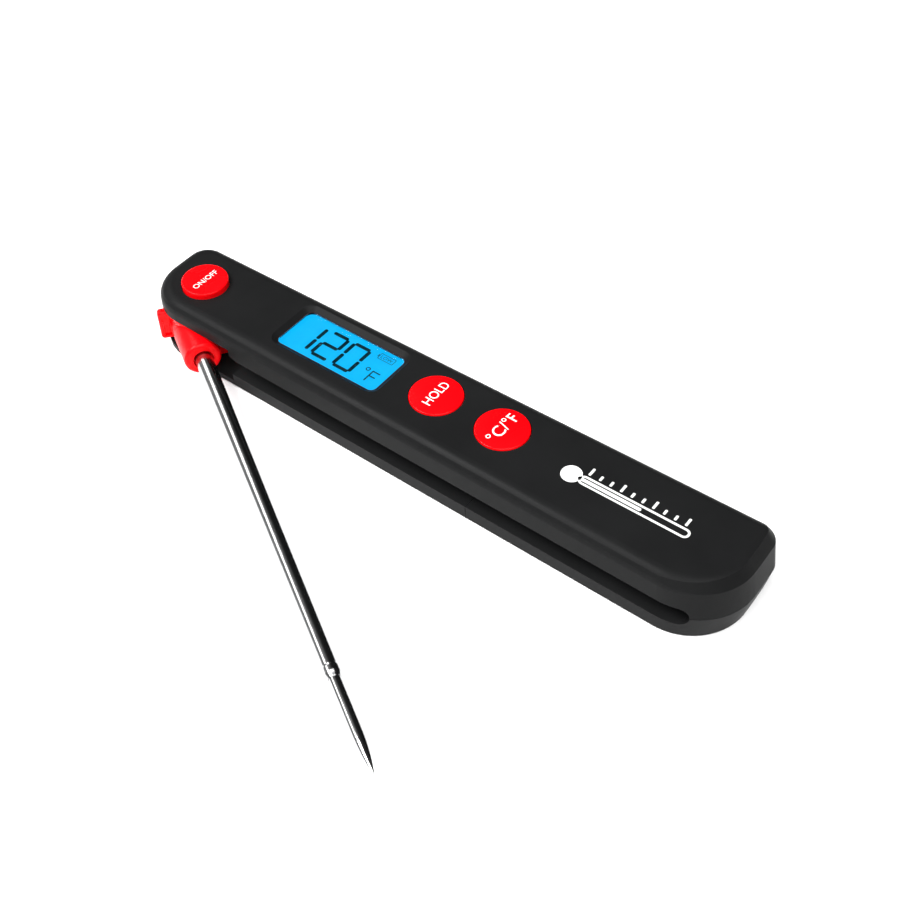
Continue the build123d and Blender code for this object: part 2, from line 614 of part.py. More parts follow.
def make_controller_chip():
    chip = rounded_block((62.0, 4.8), (9.0, 9.0), 2.0, BOARD_BOTTOM_Z - 1.2, BOARD_BOTTOM_Z)
    return fillet(chip.faces().sort_by(Axis.Z)[0].edges(), 0.6)


def make_small_parts():
    """Resistors and capacitors on the underside of the main board."""
    parts = []
    for row in range(2):
        for step in range(4):
            x = 30.0 + 5.0 * step
            y = 4.0 + 3.2 * row
            parts.append(slab((x, x + 2.0), (y, y + 1.25), (BOARD_BOTTOM_Z - 0.7, BOARD_BOTTOM_Z)))
    return Compound(children=parts)


def make_display_window():
    """The clear window: a plate that fills the recess's floor, on a wider flange."""
    plate = rounded_block(
        WINDOW_CENTRE, [side - 0.1 for side in WINDOW_SIZE], WINDOW_CORNER - 0.05,
        CASE_HEIGHT - TOP_SKIN, CASE_HEIGHT - RECESS_DEPTH,
    )
    flange = rounded_block(
        WINDOW_CENTRE, [side + 2.0 for side in WINDOW_SIZE], WINDOW_CORNER,
        CASE_HEIGHT - TOP_SKIN - 0.4, CASE_HEIGHT - TOP_SKIN,
    )
    return plate + flange


def make_lcd_panel():
    size = (WINDOW_SIZE[0] + 1.6, WINDOW_SIZE[1] + 1.6)
    return rounded_block(WINDOW_CENTRE, size, 0.2, 13.45, 14.55)


def make_backlight():
    size = (WINDOW_SIZE[0] + 0.8, WINDOW_SIZE[1] - 1.4)
    return rounded_block(WINDOW_CENTRE, size, 0.3, board_top(), 13.4)


def make_contact_strips():
    """The two rubber strips that join the display glass to the board."""
    strips = []
    for side in (-1, 1):
        y = WINDOW_CENTRE[1] + side * (WINDOW_SIZE[1] / 2 + 0.1)
        x = WINDOW_CENTRE[0]
        strips.append(slab((x - 13, x + 13), (y - 0.5, y + 0.5), (board_top(), 13.45)))
    return Compound(children=strips)


def make_display_frame():
    """The frame that holds the display glass on the board."""
    outer = [side + 3.4 for side in WINDOW_SIZE]
    inner = [side + 1.9 for side in WINDOW_SIZE]
    frame = rounded_block(WINDOW_CENTRE, outer, 0.8, board_top(), 14.55)
    return frame - rounded_block(WINDOW_CENTRE, inner, 0.3, 0, BIG)


# ---------------------------------------------------------------- battery
def make_battery():
    body = rod(BATTERY_START_X + 1.0, BATTERY_START_X + BATTERY_LENGTH, BATTERY_Y, BATTERY_Z, BATTERY_RADIUS)
    body = fillet(body.edges().filter_by(GeomType.CIRCLE), 0.4)
    return body + rod(BATTERY_START_X, BATTERY_START_X + 1.0, BATTERY_Y, BATTERY_Z, 1.9)


def make_positive_contact():
    x = BULKHEAD_X + RIB
    plate = slab((x, x + CONTACT_THICKNESS), (BATTERY_Y - 4, BATTERY_Y + 4), (BATTERY_Z - 4, BATTERY_Z + 5))
    tongue = rod(x + CONTACT_THICKNESS, BATTERY_START_X, BATTERY_Y, BATTERY_Z, 2.4)
    return plate + tongue


def make_negative_contact():
    """The plate at the butt end and its cone spring."""
    plate = slab(
        (SPRING_PLATE_X, SPRING_PLATE_X + CONTACT_THICKNESS),
        (BATTERY_Y - 4, BATTERY_Y + 4),
        (BATTERY_Z - 3.6, BATTERY_Z + 5),
    )
    return plate


def make_battery_spring():
    length = SPRING_PLATE_X - BATTERY_START_X - BATTERY_LENGTH - 0.5
    turns = 4
    coil = Helix(pitch=length / turns, height=length, radius=2.2, cone_angle=14)
    profile = Plane(origin=coil @ 0, z_dir=coil % 0) * Circle(0.25)
    spring = sweep(profile, path=coil, is_frenet=True)
    place = Plane(origin=(BATTERY_START_X + BATTERY_LENGTH + 0.25, BATTERY_Y, BATTERY_Z), z_dir=(1, 0, 0))
    return place * spring


def make_battery_leads():
    """Two wires from the battery contacts to the main board, held in the bay's top corner."""
    wire_z = 14.0
    negative = wire(
        [(SPRING_PLATE_X - 0.6, BATTERY_Y + 3, BATTERY_Z + 4.6), (SPRING_PLATE_X - 3, BATTERY_Y + 5.2, wire_z),
         (92.5, BATTERY_Y + 5.2, wire_z)],
        WIRE_RADIUS, [1.5],
    )
    positive = wire(
        [(BULKHEAD_X + RIB + 0.9, BATTERY_Y + 1.0, BATTERY_Z + 5.3), (BULKHEAD_X + RIB + 2.4, BATTERY_Y + 1.8, wire_z + 0.2),
         (BULKHEAD_X + RIB + 7.0, BATTERY_Y + 2.2, wire_z + 0.2)],
        WIRE_RADIUS, [1.0],
    )
    return Compound(children=[negative, positive])


PIECES = {
    "top_cover": make_top_cover,
    "bottom_cover": make_bottom_cover,
    "battery_cover": make_battery_cover,
    "probe_hub": make_hub,
    "probe_tube": make_tube,
    "probe_tip": make_tip,
    "sensor_bead": make_sensor_bead,
    "sensor_leads": make_sensor_leads,
    "lead_loop": make_lead_loop,
    "pivot_axle": make_pivot_axle,
    "pivot_plate": make_pivot_plate,
    "pivot_screw": make_pivot_screw,
    "hub_washer": make_washer,
    "drag_washer": make_spring_washer,
    "case_screws": make_case_screws,
    "plate_screws": make_plate_screws,
    "power_button": make_power_button,
    "hold_button": lambda: make_key("hold"),
    "unit_button": lambda: make_key("unit"),
    "power_plunger": lambda: make_plunger(0, 0, power_board_top(), POWER_SWITCH_HEIGHT),
    "hold_plunger": lambda: make_plunger(*KEY_CENTRES["hold"], board_top(), KEY_SWITCH_HEIGHT),
    "unit_plunger": lambda: make_plunger(*KEY_CENTRES["unit"], board_top(), KEY_SWITCH_HEIGHT),
    "switch_bodies": make_switch_bodies,
    "main_board": make_main_board,
    "power_board": make_power_board,
    "power_link": make_power_link,
    "controller_chip": make_controller_chip,
    "small_parts": make_small_parts,
    "display_window": make_display_window,
    "lcd_panel": make_lcd_panel,
    "lcd_backlight": make_backlight,
    "contact_strips": make_contact_strips,
    "display_frame": make_display_frame,
    "battery": make_battery,
    "positive_contact": make_positive_contact,
    "negative_contact": make_negative_contact,
    "battery_spring": make_battery_spring,
    "battery_leads": make_battery_leads,
}

os.makedirs("parts", exist_ok=True)
for name, make in PIECES.items():
    export_step(make(), os.path.join("parts", name + ".step"))
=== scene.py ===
import math

import bpy
from mathutils import Matrix, Vector


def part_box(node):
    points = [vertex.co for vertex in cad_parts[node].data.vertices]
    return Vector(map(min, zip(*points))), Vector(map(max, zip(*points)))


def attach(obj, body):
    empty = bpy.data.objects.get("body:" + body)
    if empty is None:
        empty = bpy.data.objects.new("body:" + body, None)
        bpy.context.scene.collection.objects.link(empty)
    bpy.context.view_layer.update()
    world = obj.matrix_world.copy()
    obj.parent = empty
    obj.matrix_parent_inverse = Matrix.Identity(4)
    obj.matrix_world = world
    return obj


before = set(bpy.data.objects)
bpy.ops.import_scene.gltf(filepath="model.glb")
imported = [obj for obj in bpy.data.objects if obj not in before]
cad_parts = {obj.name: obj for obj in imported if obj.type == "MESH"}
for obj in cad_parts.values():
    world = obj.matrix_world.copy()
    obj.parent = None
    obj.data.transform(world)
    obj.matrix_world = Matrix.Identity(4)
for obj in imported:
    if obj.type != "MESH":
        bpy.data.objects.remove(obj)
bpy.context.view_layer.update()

bl_info = {
    "name": "Folding Probe Thermometer",
    "version": (1, 0, 0),
    "blender": (4, 5, 0),
    "location": "View3D > Sidebar > Thermometer",
    "description": "Finishes, printing, display and stage of a folding digital meat thermometer",
    "category": "Object",
}

MM = 0.001
WINDOW_LOW, WINDOW_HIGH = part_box("display_window")
WINDOW_FLANGE = 1.0 * MM
PANEL_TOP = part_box("lcd_panel")[1].z
CASE_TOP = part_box("top_cover")[1].z

CASE_PIECES = ("top_cover", "bottom_cover", "battery_cover")
RED_PIECES = ("probe_hub", "power_button", "hold_button", "unit_button")
PLATED_PIECES = (
    "pivot_axle", "pivot_plate", "pivot_screw", "drag_washer", "case_screws", "plate_screws",
    "positive_contact", "negative_contact", "battery_spring",
)

# Which strokes of a seven-stroke digit are lit: a top, b upper right, c lower right, d foot, e lower left,
# f upper left, g middle.
DIGIT_STROKES = {"1": "bc", "2": "abged", "0": "abcdef"}


# ---------------------------------------------------------------- sizes and colours a user would change
class ThermometerColours(bpy.types.PropertyGroup):
    """Colours of the thermometer's finishes."""

    case_black: bpy.props.FloatVectorProperty(
        name="Case Black", description="Moulded colour of the three covers",
        subtype="COLOR", size=3, min=0, max=1, default=(0.0088, 0.009, 0.0092),
    )
    case_rubbed: bpy.props.FloatVectorProperty(
        name="Case Rubbed", description="Colour of the case where its edges are rubbed",
        subtype="COLOR", size=3, min=0, max=1, default=(0.02, 0.02, 0.021),
    )
    signal_red: bpy.props.FloatVectorProperty(
        name="Signal Red", description="Moulded colour of the hub and the three keys",
        subtype="COLOR", size=3, min=0, max=1, default=(0.86, 0.0012, 0.0035),
    )
    steel: bpy.props.FloatVectorProperty(
        name="Probe Steel", description="Colour of the polished stainless probe",
        subtype="COLOR", size=3, min=0, max=1, default=(0.5, 0.5, 0.505),
    )
    lit_blue: bpy.props.FloatVectorProperty(
        name="Lit Blue", description="Colour of the display with its light on",
        subtype="COLOR", size=3, min=0, max=1, default=(0.003, 0.50, 1.0),
    )
    segment_ink: bpy.props.FloatVectorProperty(
        name="Segment Ink", description="Colour of the display's dark segments",
        subtype="COLOR", size=3, min=0, max=1, default=(0.0006, 0.018, 0.03),
    )
    print_white: bpy.props.FloatVectorProperty(
        name="Print White", description="Ink of the lettering and of the printed scale",
        subtype="COLOR", size=3, min=0, max=1, default=(0.8, 0.8, 0.79),
    )


class ThermometerSizes(bpy.types.PropertyGroup):
    """Sizes of the printing and of the display's digits."""

    ink_thickness: bpy.props.FloatProperty(
        name="Ink Thickness", description="How far the printing stands above the plastic",
        unit="LENGTH", min=0.0, default=0.03 * MM,
    )
    power_word_length: bpy.props.FloatProperty(
        name="ON/OFF Length", description="Length of the word on the round power key",
        unit="LENGTH", min=0.0, default=7.5 * MM,
    )
    hold_word_length: bpy.props.FloatProperty(
        name="HOLD Length", description="Length of the word on the hold key",
        unit="LENGTH", min=0.0, default=7.6 * MM,
    )
    unit_word_length: bpy.props.FloatProperty(
        name="Unit Word Length", description="Length of the signs on the unit key",
        unit="LENGTH", min=0.0, default=8.8 * MM,
    )
    digit_height: bpy.props.FloatProperty(
        name="Digit Height", description="Height between the middles of a digit's top and foot strokes",
        unit="LENGTH", min=0.0, default=8.1 * MM,
    )
    digit_width: bpy.props.FloatProperty(
        name="Digit Width", description="Width between the middles of a digit's upright strokes",
        unit="LENGTH", min=0.0, default=4.55 * MM,
    )
    digit_pitch: bpy.props.FloatProperty(
        name="Digit Pitch", description="Distance from one digit to the next",
        unit="LENGTH", min=0.0, default=6.35 * MM,
    )
    stroke_width: bpy.props.FloatProperty(
        name="Stroke Width", description="Width of a digit's stroke",
        unit="LENGTH", min=0.0, default=0.92 * MM,
    )


class ThermometerStage(bpy.types.PropertyGroup):
    """The camera, the floor and the studio lights."""

    camera_place: bpy.props.FloatVectorProperty(
        name="Camera Place", description="Where the camera stands",
        subtype="TRANSLATION", size=3, default=(0.20639, -0.16667, 0.23612),
    )
    camera_heading: bpy.props.FloatProperty(
        name="Camera Heading", description="Turn of the camera around the upright axis",
        subtype="ANGLE", default=math.radians(38.408),
    )
    camera_height_angle: bpy.props.FloatProperty(
        name="Camera Height Angle", description="Angle by which the camera looks down",
        subtype="ANGLE", default=math.radians(47.563),
    )
    camera_roll: bpy.props.FloatProperty(
        name="Camera Roll", description="Turn of the camera around its own line of sight",
        subtype="ANGLE", default=math.radians(-1.87),
    )
    lens: bpy.props.FloatProperty(
        name="Lens", description="Focal length on a 36 mm wide sensor",
        unit="CAMERA", min=1.0, default=56.0,
    )
    floor_size: bpy.props.FloatProperty(
        name="Floor Size", description="Side of the pale floor",
        unit="LENGTH", min=0.1, default=3.0,
    )
    overhead_power: bpy.props.FloatProperty(
        name="Overhead Power", description="Power of the large soft light above",
        min=0.0, default=14.0,
    )
    front_power: bpy.props.FloatProperty(
        name="Front Power", description="Power of the soft light in front of the case",
        min=0.0, default=9.0,
    )
    strip_power: bpy.props.FloatProperty(
        name="Strip Power", description="Power of the narrow light that lines the probe",
        min=0.0, default=0.8,
    )


# ---------------------------------------------------------------- small helpers
def put(tree, kind, place, **settings):
    """One shader node, at its place on the sheet, with its settings."""
    made = tree.nodes.new(kind)
    made.location = place
    for name, value in settings.items():
        setattr(made, name, value)
    return made


def deselect_all():
    bpy.ops.object.select_all(action="DESELECT")


def select_only(piece):
    deselect_all()
    piece.select_set(True)
    bpy.context.view_layer.objects.active = piece


def settle(piece):
    """The piece's place goes into its mesh, so its object stands at the origin, unturned and unscaled."""
    select_only(piece)
    bpy.ops.object.transform_apply(location=True, rotation=True, scale=True)


def finish_mesh(piece, fineness=0):
    """Doubles are merged, long faces divided and the normals turned outwards."""
    select_only(piece)
    bpy.ops.object.mode_set(mode="EDIT")
    bpy.ops.mesh.select_all(action="SELECT")
    bpy.ops.mesh.remove_doubles(threshold=0.002 * MM)
    if fineness:
        bpy.ops.mesh.subdivide(number_cuts=fineness)
    bpy.ops.mesh.normals_make_consistent(inside=False)
    bpy.ops.object.mode_set(mode="OBJECT")


def give_thickness(piece, thickness):
    select_only(piece)
    layer = piece.modifiers.new("Ink", "SOLIDIFY")
    layer.thickness = thickness
    layer.offset = 1.0
    bpy.ops.object.modifier_apply(modifier=layer.name)


def face_up(piece):
    """A flat piece whose faces look down is turned over, so its thickness grows upwards."""
    select_only(piece)
    if piece.data.polygons[0].normal.z < 0:
        bpy.ops.object.mode_set(mode="EDIT")
        bpy.ops.mesh.select_all(action="SELECT")
        bpy.ops.mesh.flip_normals()
        bpy.ops.object.mode_set(mode="OBJECT")


def drape_on(piece, node):
    """The flat printing is pressed down onto the domed top of its key."""
    select_only(piece)
    press = piece.modifiers.new("Press", "SHRINKWRAP")
    press.wrap_method = "PROJECT"
    press.use_project_z = True
    press.use_negative_direction = True
    press.use_positive_direction = False
    press.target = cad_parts[node]
    bpy.ops.object.modifier_apply(modifier=press.name)


def flat_bar(length, width, place, turn=0.0, rounding=0.0, segments=2):
    """A flat bar with rounded or cut corners: the start of every stroke and tick."""
    deselect_all()
    bpy.ops.mesh.primitive_plane_add(size=1.0, location=place, rotation=(0, 0, turn))
    bar = bpy.context.object
    bar.scale = (length, width, 1.0)
    bpy.ops.object.transform_apply(location=False, rotation=False, scale=True)
    if rounding:
        bpy.ops.object.mode_set(mode="EDIT")
        bpy.ops.mesh.select_all(action="SELECT")
        bpy.ops.mesh.bevel(affect="VERTICES", offset=rounding, segments=segments)
        bpy.ops.object.mode_set(mode="OBJECT")
    settle(bar)
    return bar


def flat_ring(length, width, place, rounding, line, segments=6):
    """A flat outline: a rounded plate inset by the line's width, with its middle taken out."""
    ring = flat_bar(length, width, place, rounding=rounding, segments=segments)
    bpy.ops.object.mode_set(mode="EDIT")
    bpy.ops.mesh.select_all(action="SELECT")
    bpy.ops.mesh.inset(thickness=line)
    bpy.ops.mesh.delete(type="FACE")
    bpy.ops.object.mode_set(mode="OBJECT")
    return ring


def join_as(name, pieces):
    deselect_all()
    for piece in pieces:
        piece.select_set(True)
    bpy.context.view_layer.objects.active = pieces[0]
    if len(pieces) > 1:
        bpy.ops.object.join()
    joined = bpy.context.view_layer.objects.active
    joined.name = name
    joined.data.name = name
    return joined


def flat_text(words, length, place, turn, stretch=1.0):
    """A word as a flat mesh of the given length, centred on its place."""
    deselect_all()
    bpy.ops.object.text_add()
    word = bpy.context.object
    word.data.body = words
    word.data.align_x = "CENTER"
    word.data.align_y = "CENTER"
    bpy.ops.object.convert(target="MESH")
    word = bpy.context.object
    corners = [Vector(corner) for corner in word.bound_box]
    low = Vector([min(c[i] for c in corners) for i in range(3)])
    high = Vector([max(c[i] for c in corners) for i in range(3)])
    middle = (low + high) / 2
    size = length / (high.x - low.x)
    word.data.transform(Matrix.Translation(-middle))
    word.scale = (size, size * stretch, size)
    word.rotation_euler = (0, 0, turn)
    word.location = place
    settle(word)
    return word


def paint(piece, material):
    piece.data.materials.clear()
    piece.data.materials.append(material)


def finish_nodes(names, material):
    """The material goes into the slots of these carried-over nodes; their meshes stay as they are."""
    for name in names:
        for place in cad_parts[name].material_slots:
            place.material = material


# ---------------------------------------------------------------- shared surface effects
def new_effect(name, inputs, outputs):
    """An empty effect group: its named inputs with their defaults, and its named outputs."""
    effect = bpy.data.node_groups.new(name, "ShaderNodeTree")
    for label, kind, default in inputs:
        socket = effect.interface.new_socket(label, in_out="INPUT", socket_type=kind)
        if default is not None:
            socket.default_value = default
    for label in outputs:
        effect.interface.new_socket(label, in_out="OUTPUT", socket_type="NodeSocketFloat")
    return effect, put(effect, "NodeGroupInput", (-700, 0)), put(effect, "NodeGroupOutput", (700, 0))


def moulded_grain():
    """Fine texture of a moulded surface, and the broad soft patches of plastic that has been handled."""
    effect, given, result = new_effect(
        "Moulded Grain",
        (("Vector", "NodeSocketVector", None), ("Grain Scale", "NodeSocketFloat", 4000.0),
         ("Patch Scale", "NodeSocketFloat", 70.0)),
        ("Height", "Patches"),
    )
    fine = put(effect, "ShaderNodeTexNoise", (-400, 200))
    fine.inputs["Detail"].default_value = 3.0
    broad = put(effect, "ShaderNodeTexNoise", (-400, -200))
    broad.inputs["Detail"].default_value = 4.0
    broad.inputs["Roughness"].default_value = 0.6
    spread = put(effect, "ShaderNodeMapRange", (100, -200))
    spread.inputs["From Min"].default_value = 0.3
    spread.inputs["From Max"].default_value = 0.7
    effect.links.new(given.outputs["Vector"], fine.inputs["Vector"])
    effect.links.new(given.outputs["Grain Scale"], fine.inputs["Scale"])
    effect.links.new(given.outputs["Vector"], broad.inputs["Vector"])
    effect.links.new(given.outputs["Patch Scale"], broad.inputs["Scale"])
    effect.links.new(broad.outputs["Fac"], spread.inputs["Value"])
    effect.links.new(fine.outputs["Fac"], result.inputs["Height"])
    effect.links.new(spread.outputs["Result"], result.inputs["Patches"])
    return effect


def edge_wear():
    """Where the surface turns a corner: rubbed brighter, broken up by noise."""
    effect, given, result = new_effect(
        "Edge Wear",
        (("Vector", "NodeSocketVector", None), ("Radius", "NodeSocketFloat", 0.4 * MM),
         ("Amount", "NodeSocketFloat", 1.0)),
        ("Mask",),
    )
    rounded = put(effect, "ShaderNodeBevel", (-450, 200), samples=4)
    flat = put(effect, "ShaderNodeNewGeometry", (-450, 0))
    turn = put(effect, "ShaderNodeVectorMath", (-250, 150), operation="DOT_PRODUCT")
    corner = put(effect, "ShaderNodeMapRange", (-50, 150))
    corner.inputs["From Min"].default_value = 0.99
    corner.inputs["From Max"].default_value = 0.86
    patchy = put(effect, "ShaderNodeTexNoise", (-450, -250))
    patchy.inputs["Scale"].default_value = 900.0
    patchy.inputs["Detail"].default_value = 3.0
    broken = put(effect, "ShaderNodeMapRange", (-50, -250))
    broken.inputs["From Min"].default_value = 0.4
    broken.inputs["From Max"].default_value = 0.65
    both = put(effect, "ShaderNodeMath", (200, 50), operation="MULTIPLY")
    scaled = put(effect, "ShaderNodeMath", (400, 50), operation="MULTIPLY", use_clamp=True)
    effect.links.new(given.outputs["Radius"], rounded.inputs["Radius"])
    effect.links.new(rounded.outputs["Normal"], turn.inputs[0])
    effect.links.new(flat.outputs["Normal"], turn.inputs[1])
    effect.links.new(turn.outputs["Value"], corner.inputs["Value"])
    effect.links.new(given.outputs["Vector"], patchy.inputs["Vector"])
    effect.links.new(patchy.outputs["Fac"], broken.inputs["Value"])
    effect.links.new(corner.outputs["Result"], both.inputs[0])
    effect.links.new(broken.outputs["Result"], both.inputs[1])
    effect.links.new(both.outputs["Value"], scaled.inputs[0])
    effect.links.new(given.outputs["Amount"], scaled.inputs[1])
    effect.links.new(scaled.outputs["Value"], result.inputs["Mask"])
    return effect


def settled_dust():
    """Sparse specks that lie on faces looking upwards."""
    effect, given, result = new_effect(
        "Settled Dust",
        (("Vector", "NodeSocketVector", None), ("Speck Scale", "NodeSocketFloat", 700.0),
         ("Amount", "NodeSocketFloat", 0.3)),
        ("Mask",),
    )
    facing = put(effect, "ShaderNodeNewGeometry", (-450, 200))
    upright = put(effect, "ShaderNodeSeparateXYZ", (-250, 200))
    specks = put(effect, "ShaderNodeTexNoise", (-450, -100))
    specks.inputs["Detail"].default_value = 6.0
    specks.inputs["Roughness"].default_value = 0.75
    sparse = put(effect, "ShaderNodeMapRange", (-200, -100))
    sparse.inputs["From Min"].default_value = 0.66
    sparse.inputs["From Max"].default_value = 0.78
    both = put(effect, "ShaderNodeMath", (100, 50), operation="MULTIPLY", use_clamp=True)
    scaled = put(effect, "ShaderNodeMath", (350, 50), operation="MULTIPLY", use_clamp=True)
    effect.links.new(facing.outputs["Normal"], upright.inputs["Vector"])
    effect.links.new(given.outputs["Vector"], specks.inputs["Vector"])
    effect.links.new(given.outputs["Speck Scale"], specks.inputs["Scale"])
    effect.links.new(specks.outputs["Fac"], sparse.inputs["Value"])
    effect.links.new(upright.outputs["Z"], both.inputs[0])
    effect.links.new(sparse.outputs["Result"], both.inputs[1])
    effect.links.new(both.outputs["Value"], scaled.inputs[0])
    effect.links.new(given.outputs["Amount"], scaled.inputs[1])
    effect.links.new(scaled.outputs["Value"], result.inputs["Mask"])
    return effect


def polishing_lines():
    """Fine lines that run round a polished bar, and a soft haze along it. Its X runs along the bar."""
    effect, given, result = new_effect(
        "Polishing Lines",
        (("Vector", "NodeSocketVector", None), ("Line Scale", "NodeSocketFloat", 5000.0),
         ("Haze Scale", "NodeSocketFloat", 90.0)),
        ("Height", "Haze"),
    )
    squeeze = put(effect, "ShaderNodeVectorMath", (-450, 200), operation="MULTIPLY")
    squeeze.inputs[1].default_value = (1.0, 0.06, 0.06)
    lines = put(effect, "ShaderNodeTexNoise", (-200, 200))
    lines.inputs["Detail"].default_value = 2.0
    haze = put(effect, "ShaderNodeTexNoise", (-200, -150))
    haze.inputs["Detail"].default_value = 5.0
    haze.inputs["Roughness"].default_value = 0.65
    effect.links.new(given.outputs["Vector"], squeeze.inputs[0])
    effect.links.new(squeeze.outputs["Vector"], lines.inputs["Vector"])
    effect.links.new(given.outputs["Line Scale"], lines.inputs["Scale"])
    effect.links.new(given.outputs["Vector"], haze.inputs["Vector"])
    effect.links.new(given.outputs["Haze Scale"], haze.inputs["Scale"])
    effect.links.new(lines.outputs["Fac"], result.inputs["Height"])
    effect.links.new(haze.outputs["Fac"], result.inputs["Haze"])
    return effect


EFFECT_MAKERS = {
    "Moulded Grain": moulded_grain,
    "Edge Wear": edge_wear,
    "Settled Dust": settled_dust,
    "Polishing Lines": polishing_lines,
}


def place_effect(tree, name, place, vector, **values):
    """One shared effect in a material, with that material's own values."""
    effect = bpy.data.node_groups.get(name) or EFFECT_MAKERS[name]()
    made = put(tree, "ShaderNodeGroup", place, node_tree=effect)
    tree.links.new(vector, made.inputs["Vector"])
    for label, value in values.items():
        made.inputs[label.replace("_", " ")].default_value = value
    return made


# ---------------------------------------------------------------- finishes
def start_material(name):
    material = bpy.data.materials.new(name)
    material.use_nodes = True
    tree = material.node_tree
    shader = tree.nodes["Principled BSDF"]
    place = put(tree, "ShaderNodeTexCoord", (-1500, 0))
    return material, tree, shader, place.outputs["Object"]


def mix_colour(tree, place, factor, first, second):
    """A colour between two, each of which is a colour or another node's output."""
    mix = put(tree, "ShaderNodeMix", place, data_type="RGBA")
    tree.links.new(factor, mix.inputs["Factor"])
    for label, colour in (("A", first), ("B", second)):
        socket = [s for s in mix.inputs if s.name == label and s.type == "RGBA"][0]
        if isinstance(colour, bpy.types.NodeSocket):
            tree.links.new(colour, socket)
        else:
            socket.default_value = (*colour, 1.0)
    return [s for s in mix.outputs if s.type == "RGBA"][0]


def spread_to(tree, place, value, low, high):
    """A value from 0 to 1 spread between two others."""
    spread = put(tree, "ShaderNodeMapRange", place)
    spread.inputs["To Min"].default_value = low
    spread.inputs["To Max"].default_value = high
    tree.links.new(value, spread.inputs["Value"])
    return spread.outputs["Result"]


def raise_surface(tree, shader, height, depth, strength=1.0):
    bump = put(tree, "ShaderNodeBump", (-200, -500))
    bump.inputs["Distance"].default_value = depth
    bump.inputs["Strength"].default_value = strength
    tree.links.new(height, bump.inputs["Height"])
    tree.links.new(bump.outputs["Normal"], shader.inputs["Normal"])


def moulded_plastic(name, colour, rubbed, shine, grain, wear=0.6, dust=0.2, depth=0.004 * MM, specular=0.5):
    """A moulded plastic. shine is its smoothest and dullest roughness, grain the scale of its texture."""
    material, tree, shader, vector = start_material(name)
    surface = place_effect(tree, "Moulded Grain", (-1250, 200), vector, Grain_Scale=grain)
    corners = place_effect(tree, "Edge Wear", (-1250, -100), vector, Amount=wear)
    specks = place_effect(tree, "Settled Dust", (-1250, -350), vector, Amount=dust)
    darker = tuple(channel * 0.86 for channel in colour)
    dusty = tuple(min(1.0, channel * 0.8 + 0.05) for channel in colour)
    toned = mix_colour(tree, (-900, 300), surface.outputs["Patches"], darker, colour)
    worn = mix_colour(tree, (-650, 250), corners.outputs["Mask"], toned, rubbed)
    dusted = mix_colour(tree, (-400, 200), specks.outputs["Mask"], worn, dusty)
    tree.links.new(dusted, shader.inputs["Base Color"])
    rough = spread_to(tree, (-650, 0), surface.outputs["Patches"], shine[0], shine[1])
    tree.links.new(rough, shader.inputs["Roughness"])
    shader.inputs["Specular IOR Level"].default_value = specular
    raise_surface(tree, shader, surface.outputs["Height"], depth)
    return material


def polished_metal(name, colour, shine, turn=0.0, lines=5000.0, depth=0.0006 * MM):
    """A polished metal. shine is its smoothest and dullest roughness, turn the direction of the bar."""
    material, tree, shader, vector = start_material(name)
    along = put(tree, "ShaderNodeMapping", (-1300, 0))
    along.inputs["Rotation"].default_value = (0, 0, turn)
    tree.links.new(vector, along.inputs["Vector"])
    surface = place_effect(tree, "Polishing Lines", (-1050, 100), along.outputs["Vector"], Line_Scale=lines)
    corners = place_effect(tree, "Edge Wear", (-1050, -200), vector, Amount=0.4)
    duller = tuple(channel * 0.9 for channel in colour)
    bright = tuple(min(1.0, channel * 1.15) for channel in colour)
    toned = mix_colour(tree, (-750, 250), surface.outputs["Haze"], duller, colour)
    worn = mix_colour(tree, (-500, 200), corners.outputs["Mask"], toned, bright)
    tree.links.new(worn, shader.inputs["Base Color"])
    varied = spread_to(tree, (-500, 0), surface.outputs["Haze"], shine[0], shine[1])
    tree.links.new(varied, shader.inputs["Roughness"])
    shader.inputs["Metallic"].default_value = 1.0
    raise_surface(tree, shader, surface.outputs["Height"], depth)
    return material


def case_plastic():
    colours = bpy.context.scene.thermometer_colours
    return moulded_plastic(
        "satin_black_plastic", tuple(colours.case_black), tuple(colours.case_rubbed),
        shine=(0.36, 0.46), grain=5200.0, wear=0.45, dust=0.12, depth=0.006 * MM, specular=0.04,
    )


def red_plastic():
    colours = bpy.context.scene.thermometer_colours
    return moulded_plastic(
        "signal_red_plastic", tuple(colours.signal_red), (0.9, 0.012, 0.02),
        shine=(0.24, 0.34), grain=3200.0, wear=0.0, dust=0.0, depth=0.0015 * MM, specular=0.1,
    )


def probe_steel():
    steel = tuple(bpy.context.scene.thermometer_colours.steel)
    probe_turn = math.radians(31.05)
    return polished_metal("polished_probe_steel", steel, shine=(0.12, 0.22), turn=probe_turn)


def white_ink():
    material, tree, shader, vector = start_material("white_print")
    ink = tuple(bpy.context.scene.thermometer_colours.print_white)
    surface = place_effect(tree, "Moulded Grain", (-1250, 100), vector, Grain_Scale=9000.0, Patch_Scale=900.0)
    thin = tuple(channel * 0.86 for channel in ink)
    tone = mix_colour(tree, (-700, 200), surface.outputs["Patches"], thin, ink)
    tree.links.new(tone, shader.inputs["Base Color"])
    varied = spread_to(tree, (-700, 0), surface.outputs["Patches"], 0.42, 0.55)
    tree.links.new(varied, shader.inputs["Roughness"])
    raise_surface(tree, shader, surface.outputs["Height"], 0.002 * MM)
    return material


